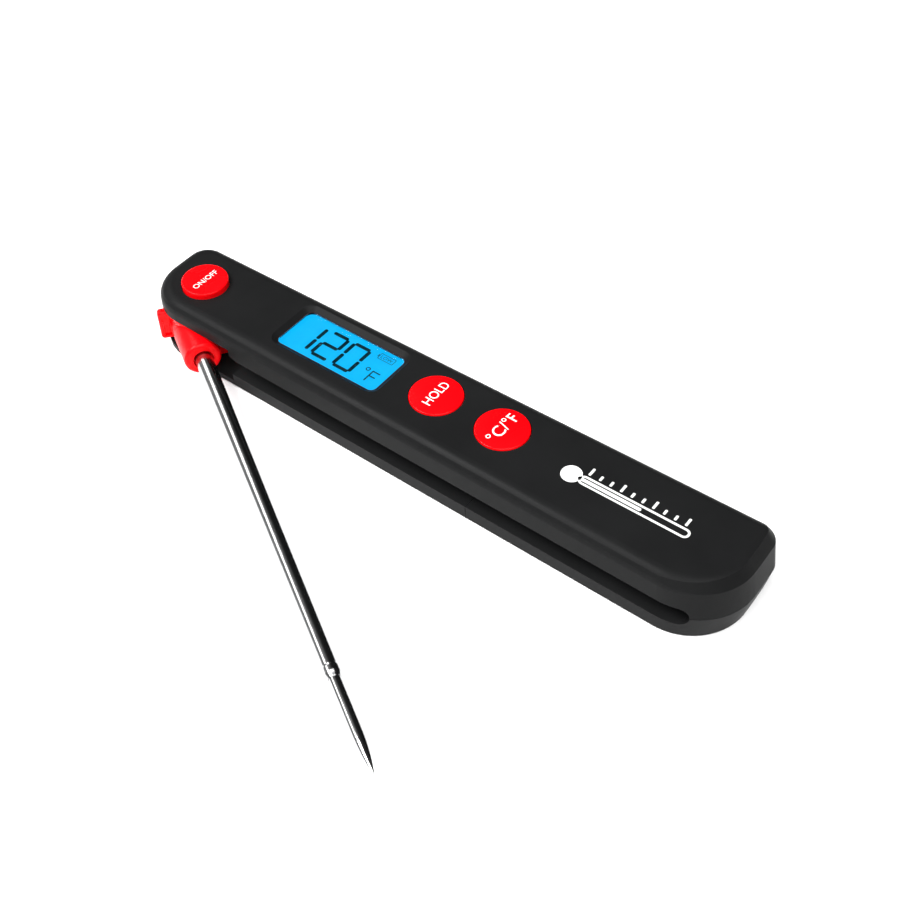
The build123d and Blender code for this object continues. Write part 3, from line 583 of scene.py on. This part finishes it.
def lit_display():
    """The display glows through its coloured filter, a little unevenly, as an edge-lit panel does."""
    material, tree, shader, vector = start_material("lit_blue_display")
    blue = tuple(bpy.context.scene.thermometer_colours.lit_blue)
    dimmer = (blue[0], blue[1] * 0.93, blue[2] * 0.95)
    surface = place_effect(tree, "Moulded Grain", (-1250, 100), vector, Grain_Scale=6000.0, Patch_Scale=260.0)
    glow = mix_colour(tree, (-700, 200), surface.outputs["Patches"], dimmer, blue)
    tree.links.new(glow, shader.inputs["Emission Color"])
    shader.inputs["Emission Strength"].default_value = 1.05
    tone = mix_colour(tree, (-700, -50), surface.outputs["Patches"], (0.0, 0.01, 0.02), (0.0, 0.014, 0.028))
    tree.links.new(tone, shader.inputs["Base Color"])
    varied = spread_to(tree, (-700, -250), surface.outputs["Height"], 0.5, 0.65)
    tree.links.new(varied, shader.inputs["Roughness"])
    shader.inputs["Specular IOR Level"].default_value = 0.1
    return material


def segment_ink():
    """The dark segments let a little of the blue light through."""
    material, tree, shader, vector = start_material("dark_segments")
    ink = tuple(bpy.context.scene.thermometer_colours.segment_ink)
    surface = place_effect(tree, "Moulded Grain", (-1250, 100), vector, Grain_Scale=6000.0, Patch_Scale=700.0)
    deeper = tuple(channel * 0.7 for channel in ink)
    tone = mix_colour(tree, (-700, 200), surface.outputs["Patches"], deeper, ink)
    tree.links.new(tone, shader.inputs["Emission Color"])
    shader.inputs["Emission Strength"].default_value = 1.0
    tone = mix_colour(
        tree, (-700, -50), surface.outputs["Patches"], (0.0, 0.002, 0.003), (0.001, 0.004, 0.005))
    tree.links.new(tone, shader.inputs["Base Color"])
    varied = spread_to(tree, (-700, -250), surface.outputs["Height"], 0.5, 0.6)
    tree.links.new(varied, shader.inputs["Roughness"])
    shader.inputs["Specular IOR Level"].default_value = 0.1
    return material


def pale_segment_ink():
    """A segment that is only half driven: the ink of the small battery sign."""
    material, tree, shader, vector = start_material("half_dark_segments")
    surface = place_effect(
        tree, "Moulded Grain", (-1250, 100), vector, Grain_Scale=6000.0, Patch_Scale=1500.0)
    tone = mix_colour(tree, (-700, 200), surface.outputs["Patches"], (0.001, 0.06, 0.12), (0.001, 0.11, 0.20))
    tree.links.new(tone, shader.inputs["Emission Color"])
    shader.inputs["Emission Strength"].default_value = 1.0
    tone = mix_colour(tree, (-700, -50), surface.outputs["Patches"], (0.0, 0.004, 0.006), (0.0, 0.008, 0.01))
    tree.links.new(tone, shader.inputs["Base Color"])
    varied = spread_to(tree, (-700, -250), surface.outputs["Height"], 0.5, 0.6)
    tree.links.new(varied, shader.inputs["Roughness"])
    shader.inputs["Specular IOR Level"].default_value = 0.1
    return material


def clear_window():
    """Clear polished plastic, with the faintest handling haze in its gloss."""
    material, tree, shader, vector = start_material("clear_window_plastic")
    surface = place_effect(tree, "Moulded Grain", (-1250, 100), vector, Grain_Scale=2500.0, Patch_Scale=150.0)
    varied = spread_to(tree, (-700, 0), surface.outputs["Patches"], 0.0, 0.015)
    tree.links.new(varied, shader.inputs["Roughness"])
    tone = mix_colour(tree, (-700, 200), surface.outputs["Patches"], (0.97, 0.99, 1.0), (1.0, 1.0, 1.0))
    tree.links.new(tone, shader.inputs["Base Color"])
    shader.inputs["Transmission Weight"].default_value = 1.0
    shader.inputs["IOR"].default_value = 1.12
    shader.inputs["Specular IOR Level"].default_value = 0.25
    return material


def banded_material(name, bands, soft, shine, scale=1.0, metallic=0.0, turn=(0.0, 0.0, 0.0), start=0.0):
    """Bands of colour along X: each band is where it starts, from 0 to 1 over the scale, and its colour."""
    material, tree, shader, vector = start_material(name)
    along = put(tree, "ShaderNodeMapping", (-1300, 300), vector_type="TEXTURE")
    along.inputs["Location"].default_value = (start, 0, 0)
    along.inputs["Rotation"].default_value = turn
    along.inputs["Scale"].default_value = (scale, scale, scale)
    split = put(tree, "ShaderNodeSeparateXYZ", (-1100, 300))
    ramp = put(tree, "ShaderNodeValToRGB", (-900, 300))
    ramp.color_ramp.interpolation = "LINEAR" if soft else "CONSTANT"
    while len(ramp.color_ramp.elements) < len(bands):
        ramp.color_ramp.elements.new(0.5)
    for element, (position, colour) in zip(ramp.color_ramp.elements, bands):
        element.position = position
        element.color = (*colour, 1.0)
    tree.links.new(vector, along.inputs["Vector"])
    tree.links.new(along.outputs["Vector"], split.inputs["Vector"])
    tree.links.new(split.outputs["X"], ramp.inputs["Fac"])
    surface = place_effect(
        tree, "Moulded Grain", (-1250, -100), vector, Grain_Scale=5000.0, Patch_Scale=200.0)
    corners = place_effect(tree, "Edge Wear", (-1250, -350), vector, Amount=0.5)
    dulled = mix_colour(tree, (-550, 200), corners.outputs["Mask"], ramp.outputs["Color"], (0.5, 0.5, 0.5))
    tree.links.new(dulled, shader.inputs["Base Color"])
    varied = spread_to(tree, (-700, -100), surface.outputs["Patches"], shine[0], shine[1])
    tree.links.new(varied, shader.inputs["Roughness"])
    shader.inputs["Metallic"].default_value = metallic
    raise_surface(tree, shader, surface.outputs["Height"], 0.002 * MM)
    return material


def circuit_board():
    """Green solder mask over copper tracks that show through as paler lines."""
    material, tree, shader, vector = start_material("green_solder_mask")
    tracks = put(tree, "ShaderNodeTexBrick", (-1100, 300))
    tracks.inputs["Scale"].default_value = 260.0
    tracks.inputs["Mortar Size"].default_value = 0.03
    tracks.inputs["Color1"].default_value = (0.004, 0.09, 0.028, 1.0)
    tracks.inputs["Color2"].default_value = (0.006, 0.11, 0.036, 1.0)
    tracks.inputs["Mortar"].default_value = (0.03, 0.24, 0.09, 1.0)
    surface = place_effect(
        tree, "Moulded Grain", (-1250, -100), vector, Grain_Scale=5000.0, Patch_Scale=300.0)
    corners = place_effect(tree, "Edge Wear", (-1250, -350), vector, Amount=0.8)
    tree.links.new(vector, tracks.inputs["Vector"])
    cut = mix_colour(tree, (-600, 200), corners.outputs["Mask"], tracks.outputs["Color"], (0.33, 0.27, 0.13))
    tree.links.new(cut, shader.inputs["Base Color"])
    varied = spread_to(tree, (-700, -100), surface.outputs["Patches"], 0.28, 0.42)
    tree.links.new(varied, shader.inputs["Roughness"])
    raise_surface(tree, shader, surface.outputs["Height"], 0.002 * MM)
    return material


# ---------------------------------------------------------------- operators
class FinishCase(bpy.types.Operator):
    """Satin black moulded plastic on the top cover, the bottom cover and the battery cover"""

    bl_idname = "thermometer.finish_case"
    bl_label = "Finish Case"

    def execute(self, context):
        finish_nodes(CASE_PIECES, case_plastic())
        return {"FINISHED"}


class FinishRedParts(bpy.types.Operator):
    """Glossy red plastic on the probe's hub and the three keys"""

    bl_idname = "thermometer.finish_red_parts"
    bl_label = "Finish Hub and Keys"

    def execute(self, context):
        finish_nodes(RED_PIECES, red_plastic())
        return {"FINISHED"}


class FinishProbe(bpy.types.Operator):
    """Polished stainless steel on the probe's tube and tip, and the sensor sealed inside"""

    bl_idname = "thermometer.finish_probe"
    bl_label = "Finish Probe"

    def execute(self, context):
        finish_nodes(("probe_tube", "probe_tip"), probe_steel())
        finish_nodes(("sensor_bead",), moulded_plastic(
            "sensor_epoxy", (0.12, 0.08, 0.05), (0.2, 0.14, 0.09), (0.15, 0.3), 2500.0, specular=0.5))
        finish_nodes(("sensor_leads", "lead_loop"), moulded_plastic(
            "lead_insulation", (0.5, 0.02, 0.015), (0.6, 0.1, 0.08), (0.35, 0.5), 3000.0))
        return {"FINISHED"}


class FinishPivotAndContacts(bpy.types.Operator):
    """Nickel-plated steel on the pivot, the screws and the battery contacts, and the nylon washer"""

    bl_idname = "thermometer.finish_pivot_and_contacts"
    bl_label = "Finish Pivot, Screws and Contacts"

    def execute(self, context):
        nickel = polished_metal("nickel_plating", (0.62, 0.6, 0.56), (0.2, 0.36), lines=3000.0)
        finish_nodes(PLATED_PIECES, nickel)
        finish_nodes(("hub_washer",), moulded_plastic(
            "white_nylon", (0.72, 0.72, 0.69), (0.8, 0.8, 0.78), (0.35, 0.5), 3500.0))
        return {"FINISHED"}


class FinishElectronics(bpy.types.Operator):
    """Boards, switches, chip and small parts, and the flat link between the boards"""

    bl_idname = "thermometer.finish_electronics"
    bl_label = "Finish Electronics"

    def execute(self, context):
        finish_nodes(("main_board", "power_board"), circuit_board())
        finish_nodes(("switch_bodies", "controller_chip"), moulded_plastic(
            "switch_black", (0.03, 0.03, 0.033), (0.09, 0.09, 0.09), (0.4, 0.55), 4500.0))
        finish_nodes(("power_plunger", "hold_plunger", "unit_plunger"), moulded_plastic(
            "plunger_grey", (0.09, 0.09, 0.095), (0.16, 0.16, 0.16), (0.35, 0.5), 4000.0))
        finish_nodes(("small_parts",), banded_material(
            "ceramic_parts", ((0.0, (0.42, 0.3, 0.16)), (0.5, (0.06, 0.055, 0.05))),
            False, (0.3, 0.45), scale=6 * MM))
        finish_nodes(("power_link",), banded_material(
            "flat_link", ((0.0, (0.74, 0.72, 0.66)), (0.55, (0.66, 0.5, 0.3))), False, (0.3, 0.4),
            scale=1.0 * MM, turn=(0, 0, math.radians(90))))
        return {"FINISHED"}


class FinishDisplay(bpy.types.Operator):
    """The lit blue panel, its backlight, its frame and contact strips, and the clear window"""

    bl_idname = "thermometer.finish_display"
    bl_label = "Finish Display"

    def execute(self, context):
        finish_nodes(("lcd_panel",), lit_display())
        finish_nodes(("display_window",), clear_window())
        finish_nodes(("lcd_backlight",), moulded_plastic(
            "backlight_acrylic", (0.55, 0.68, 0.75), (0.7, 0.8, 0.85), (0.12, 0.2), 2500.0))
        finish_nodes(("display_frame",), moulded_plastic(
            "display_frame_plastic", (0.04, 0.04, 0.042), (0.1, 0.1, 0.1), (0.42, 0.56), 4500.0))
        finish_nodes(("contact_strips",), banded_material(
            "striped_rubber", ((0.0, (0.55, 0.3, 0.26)), (0.5, (0.02, 0.02, 0.02))),
            False, (0.5, 0.65), scale=0.4 * MM))
        return {"FINISHED"}


class FinishBattery(bpy.types.Operator):
    """The cell's two-coloured sleeve with its bare ends, and its two leads"""

    bl_idname = "thermometer.finish_battery"
    bl_label = "Finish Battery and Leads"

    def execute(self, context):
        low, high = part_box("battery")
        bands = (
            (0.0, (0.6, 0.6, 0.6)), (0.035, (0.5, 0.2, 0.06)),
            (0.3, (0.015, 0.015, 0.017)), (0.97, (0.55, 0.55, 0.55)),
        )
        finish_nodes(("battery",), banded_material(
            "battery_sleeve", bands, False, (0.22, 0.34), scale=high.x - low.x, metallic=0.35, start=low.x))
        finish_nodes(("battery_leads",), moulded_plastic(
            "lead_sheath_red", (0.45, 0.015, 0.012), (0.55, 0.09, 0.07), (0.35, 0.5), 3000.0))
        return {"FINISHED"}


class PrintKeys(bpy.types.Operator):
    """White lettering pressed onto the three red keys"""

    bl_idname = "thermometer.print_keys"
    bl_label = "Print Keys"

    def execute(self, context):
        sizes = context.scene.thermometer_sizes
        ink = white_ink()
        across = math.radians(90)
        words = (
            ("power_lettering", "ON/OFF", sizes.power_word_length, "power_button", "power_key", 1.0, 0.2 * MM),
            ("hold_lettering", "HOLD", sizes.hold_word_length, "hold_button", "hold_key", 1.12, 0.0),
            ("unit_lettering", "°C/°F", sizes.unit_word_length, "unit_button", "unit_key", 1.0, 0.0),
        )
        for name, text, length, node, body, stretch, shift in words:
            low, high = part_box(node)
            middle = (low + high) / 2
            place = (middle.x + shift, middle.y, high.z + 1 * MM)
            word = flat_text(text, length, place, across, stretch)
            word.name = name
            finish_mesh(word, fineness=3)
            face_up(word)
            drape_on(word, node)
            give_thickness(word, sizes.ink_thickness)
            paint(word, ink)
            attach(word, body)
        return {"FINISHED"}


class AddDisplaySegments(bpy.types.Operator):
    """The reading 120, its degree sign and the small battery sign, on top of the blue panel"""

    bl_idname = "thermometer.add_display_segments"
    bl_label = "Add Display Segments"

    def execute(self, context):
        sizes = context.scene.thermometer_sizes
        level = PANEL_TOP + 0.005 * MM
        width, height, stroke = sizes.digit_width, sizes.digit_height, sizes.stroke_width
        foot = -1.75 * MM
        first = 27.9 * MM
        gap = 0.16 * MM
        cut = 0.34 * MM
        across = math.radians(90)
        upright = height / 2 - 2 * gap
        level_stroke = width - 2 * gap
        strokes = {
            "a": (0.5, 1.0, level_stroke, 0.0), "g": (0.5, 0.5, level_stroke, 0.0),
            "d": (0.5, 0.0, level_stroke, 0.0),
            "b": (1.0, 0.75, upright, across), "c": (1.0, 0.25, upright, across),
            "e": (0.0, 0.25, upright, across), "f": (0.0, 0.75, upright, across),
        }
        bars = []
        for index, digit in enumerate("120"):
            left = first + index * sizes.digit_pitch
            for letter in DIGIT_STROKES[digit]:
                along, up, length, turn = strokes[letter]
                place = (left + along * width, foot + up * height, level)
                bars.append(flat_bar(length, stroke, place, turn, rounding=cut, segments=2))
        reading = join_as("display_reading", bars)

        thin, corner = 0.34 * MM, 0.1 * MM
        unit_top, unit_left = 1.85 * MM, 49.7 * MM
        unit_height = unit_top - foot
        top_arm, lower_arm, lower_arm_y = 1.9 * MM, 1.6 * MM, 0.1 * MM
        top_middle, lower_middle = unit_left + 1.05 * MM, unit_left + 0.95 * MM
        degree, degree_round, degree_line = 1.15 * MM, 0.56 * MM, 0.24 * MM
        degree_middle = (48.3 * MM, 1.65 * MM, level)
        unit = join_as("display_unit_sign", [
            flat_bar(unit_height, thin, (unit_left, foot + unit_height / 2, level), across, corner),
            flat_bar(top_arm, thin, (top_middle, unit_top - thin / 2, level), 0.0, corner),
            flat_bar(lower_arm, thin, (lower_middle, lower_arm_y, level), 0.0, corner),
            flat_ring(degree, degree, degree_middle, degree_round, degree_line),
        ])

        icon_middle = (49.75 * MM, 6.5 * MM, level)
        icon_length, icon_width, icon_round, icon_line = 4.3 * MM, 1.9 * MM, 0.2 * MM, 0.16 * MM
        cap_length, cap_width = 0.9 * MM, 0.3 * MM
        cap_middle = (icon_middle[0] - 2.35 * MM, icon_middle[1], level)
        low_sign = join_as("display_battery_sign", [
            flat_ring(icon_length, icon_width, icon_middle, icon_round, icon_line, segments=3),
            flat_bar(cap_length, cap_width, cap_middle, across, corner),
            flat_text("LOW", 3.2 * MM, icon_middle, 0.0),
        ])
        for piece, ink in ((reading, segment_ink()), (unit, segment_ink()), (low_sign, pale_segment_ink())):
            finish_mesh(piece)
            face_up(piece)
            give_thickness(piece, 0.02 * MM)
            paint(piece, ink)
            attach(piece, "case")
        return {"FINISHED"}


class AddWindowRim(bpy.types.Operator):
    """A thin dark ring laid on the clear window round the edge of its opening: painted shade at the foot of
    the recess wall
    """

    bl_idname = "thermometer.add_window_rim"
    bl_label = "Add Window Rim"

    def execute(self, context):
        middle = (WINDOW_LOW + WINDOW_HIGH) / 2
        recess_floor = (middle.x, middle.y, WINDOW_HIGH.z + 0.004 * MM)
        line = 0.3 * MM
        length = WINDOW_HIGH.x - WINDOW_LOW.x - 2 * WINDOW_FLANGE + line
        width = WINDOW_HIGH.y - WINDOW_LOW.y - 2 * WINDOW_FLANGE + line
        rim = flat_ring(length, width, recess_floor, 1.75 * MM, line, segments=10)
        rim = join_as("window_rim", [rim])
        finish_mesh(rim)
        face_up(rim)
        give_thickness(rim, 0.03 * MM)
        # The ring's dark brownish colour is painted shade, standing in for the shade where the recess wall
        # meets the window.
        paint(rim, moulded_plastic(
            "window_recess_painted_shade", (0.02, 0.006, 0.003), (0.04, 0.014, 0.008), (0.3, 0.45), 6000.0,
            wear=0.2, dust=0.05, specular=0.3))
        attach(rim, "case")
        return {"FINISHED"}


class PrintHandleScale(bpy.types.Operator):
    """A generic printed thermometer with a row of scale marks, on the butt end of the case"""

    bl_idname = "thermometer.print_handle_scale"
    bl_label = "Print Handle Scale"

    def execute(self, context):
        sizes = context.scene.thermometer_sizes
        level = CASE_TOP + 0.002 * MM
        axis_y = 0.6 * MM
        bulb_x, stem_end = 103.6 * MM, 131.4 * MM
        stem_start = bulb_x + 1.6 * MM
        stem = stem_end - stem_start
        bulb, bulb_round = 4.6 * MM, 2.25 * MM
        stem_width, stem_round, line = 2.5 * MM, 1.2 * MM, 0.5 * MM
        stem_middle = (stem_start + stem / 2 + 0.3 * MM, axis_y, level)
        column, column_width, column_round = stem * 0.58, 0.8 * MM, 0.35 * MM
        column_middle = (stem_start + column / 2, axis_y, level)
        shapes = [
            flat_bar(bulb, bulb, (bulb_x, axis_y, level), 0.0, bulb_round, segments=10),
            flat_ring(stem, stem_width, stem_middle, stem_round, line, segments=8),
            flat_bar(column, column_width, column_middle, 0.0, column_round, segments=4),
        ]
        across = math.radians(90)
        marks, marks_per_long_one = 10, 3
        long_mark, short_mark, mark_width, mark_round = 2.1 * MM, 1.3 * MM, 0.55 * MM, 0.1 * MM
        first_mark, mark_step = stem_start + 1.6 * MM, 2.55 * MM
        base = axis_y + 1.8 * MM
        for index in range(marks):
            tall = long_mark if index % marks_per_long_one == 0 else short_mark
            place = (first_mark + index * mark_step, base + tall / 2, level)
            shapes.append(flat_bar(tall, mark_width, place, across, mark_round))
        scale = join_as("handle_scale_print", shapes)
        finish_mesh(scale)
        face_up(scale)
        give_thickness(scale, sizes.ink_thickness)
        paint(scale, bpy.data.materials.get("white_print") or white_ink())
        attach(scale, "case")
        return {"FINISHED"}


class BuildStage(bpy.types.Operator):
    """The pale floor, the soft studio lights, the dim room around them and the camera"""

    bl_idname = "thermometer.build_stage"
    bl_label = "Build Stage"

    def execute(self, context):
        stage = context.scene.thermometer_stage
        context.scene.view_settings.view_transform = "Standard"
        self.lay_floor(stage.floor_size)
        middle = Vector((0.065, -0.015, 0.0))
        lamps = (
            ("overhead_light", (0.42, -0.28, 0.86), 0.95, (0.8, 0.8), stage.overhead_power),
            ("front_light", (-0.42, -0.45, 0.79), 0.80, (0.35, 0.35), stage.front_power),
            ("strip_light", (-0.80, -0.05, 0.62), 0.60, (0.5, 0.12), stage.strip_power),
        )
        for name, direction, distance, size, power in lamps:
            self.hang_light(name, middle, Vector(direction).normalized(), distance, size, power)
        self.tint_room(context)
        self.stand_camera(context, stage)
        return {"FINISHED"}

    def lay_floor(self, size):
        deselect_all()
        bpy.ops.mesh.primitive_plane_add(size=size, location=(0, 0, 0))
        floor = bpy.context.object
        floor.name = "floor"
        material, tree, shader, vector = start_material("pale_floor")
        surface = place_effect(
            tree, "Moulded Grain", (-1250, 100), vector, Grain_Scale=400.0, Patch_Scale=5.0)
        tone = mix_colour(tree, (-700, 200), surface.outputs["Patches"], (0.9, 0.9, 0.9), (0.93, 0.93, 0.93))
        tree.links.new(tone, shader.inputs["Base Color"])
        varied = spread_to(tree, (-700, 0), surface.outputs["Patches"], 0.7, 0.8)
        tree.links.new(varied, shader.inputs["Roughness"])
        shader.inputs["Specular IOR Level"].default_value = 0.1
        paint(floor, material)

    def hang_light(self, name, middle, direction, distance, size, power):
        deselect_all()
        bpy.ops.object.light_add(type="AREA", location=middle + direction * distance)
        lamp = bpy.context.object
        lamp.name = name
        lamp.rotation_euler = direction.to_track_quat("Z", "Y").to_euler()
        lamp.data.shape = "RECTANGLE"
        lamp.data.size, lamp.data.size_y = size
        lamp.data.energy = power

    def tint_room(self, context):
        """A dim room, a little lighter towards the left than behind the case."""
        room = bpy.data.worlds.new("dim_studio_room")
        context.scene.world = room
        room.use_nodes = True
        tree = room.node_tree
        place = put(tree, "ShaderNodeTexCoord", (-900, 0))
        towards = put(tree, "ShaderNodeVectorMath", (-700, 0), operation="DOT_PRODUCT")
        towards.inputs[1].default_value = (-0.9, -0.42, 0.1)
        spread = put(tree, "ShaderNodeMapRange", (-500, 0))
        spread.inputs["From Min"].default_value = 0.2
        spread.inputs["From Max"].default_value = 1.0
        spread.inputs["To Min"].default_value = 0.012
        spread.inputs["To Max"].default_value = 0.3
        tree.links.new(place.outputs["Generated"], towards.inputs[0])
        tree.links.new(towards.outputs["Value"], spread.inputs["Value"])
        tree.links.new(spread.outputs["Result"], tree.nodes["Background"].inputs["Color"])

    def stand_camera(self, context, stage):
        deselect_all()
        bpy.ops.object.camera_add(location=stage.camera_place)
        camera = bpy.context.object
        camera.name = "front_camera"
        look = (
            Matrix.Rotation(stage.camera_heading, 4, "Z")
            @ Matrix.Rotation(math.radians(90) - stage.camera_height_angle, 4, "X")
            @ Matrix.Rotation(stage.camera_roll, 4, "Z")
        )
        camera.rotation_euler = look.to_euler()
        camera.data.lens = stage.lens
        camera.data.sensor_width = 36.0
        camera.data.clip_start = 0.01
        context.scene.camera = camera


class ThermometerPanel(bpy.types.Panel):
    """Lists the steps that finish the thermometer"""

    bl_idname = "VIEW3D_PT_thermometer"
    bl_label = "Folding Thermometer"
    bl_space_type = "VIEW_3D"
    bl_region_type = "UI"
    bl_category = "Thermometer"

    def draw(self, context):
        column = self.layout.column()
        for operator in OPERATORS:
            column.operator(operator.bl_idname)
        for group in ("thermometer_colours", "thermometer_sizes", "thermometer_stage"):
            values = getattr(context.scene, group)
            box = self.layout.box()
            for name in values.__annotations__:
                box.prop(values, name)


OPERATORS = (
    FinishCase, FinishRedParts, FinishProbe, FinishPivotAndContacts, FinishElectronics,
    FinishDisplay, FinishBattery,
    PrintKeys, AddDisplaySegments, AddWindowRim, PrintHandleScale, BuildStage,
)
GROUPS = (
    ("thermometer_colours", ThermometerColours),
    ("thermometer_sizes", ThermometerSizes),
    ("thermometer_stage", ThermometerStage),
)


def register():
    for name, group in GROUPS:
        bpy.utils.register_class(group)
        setattr(bpy.types.Scene, name, bpy.props.PointerProperty(type=group))
    for operator in OPERATORS:
        bpy.utils.register_class(operator)
    bpy.utils.register_class(ThermometerPanel)


def unregister():
    bpy.utils.unregister_class(ThermometerPanel)
    for operator in reversed(OPERATORS):
        bpy.utils.unregister_class(operator)
    for name, group in reversed(GROUPS):
        delattr(bpy.types.Scene, name)
        bpy.utils.unregister_class(group)


def main():
    register()
    for operator in OPERATORS:
        section, name = operator.bl_idname.split(".")
        getattr(getattr(bpy.ops, section), name)()


if __name__ == "__main__":
    main()
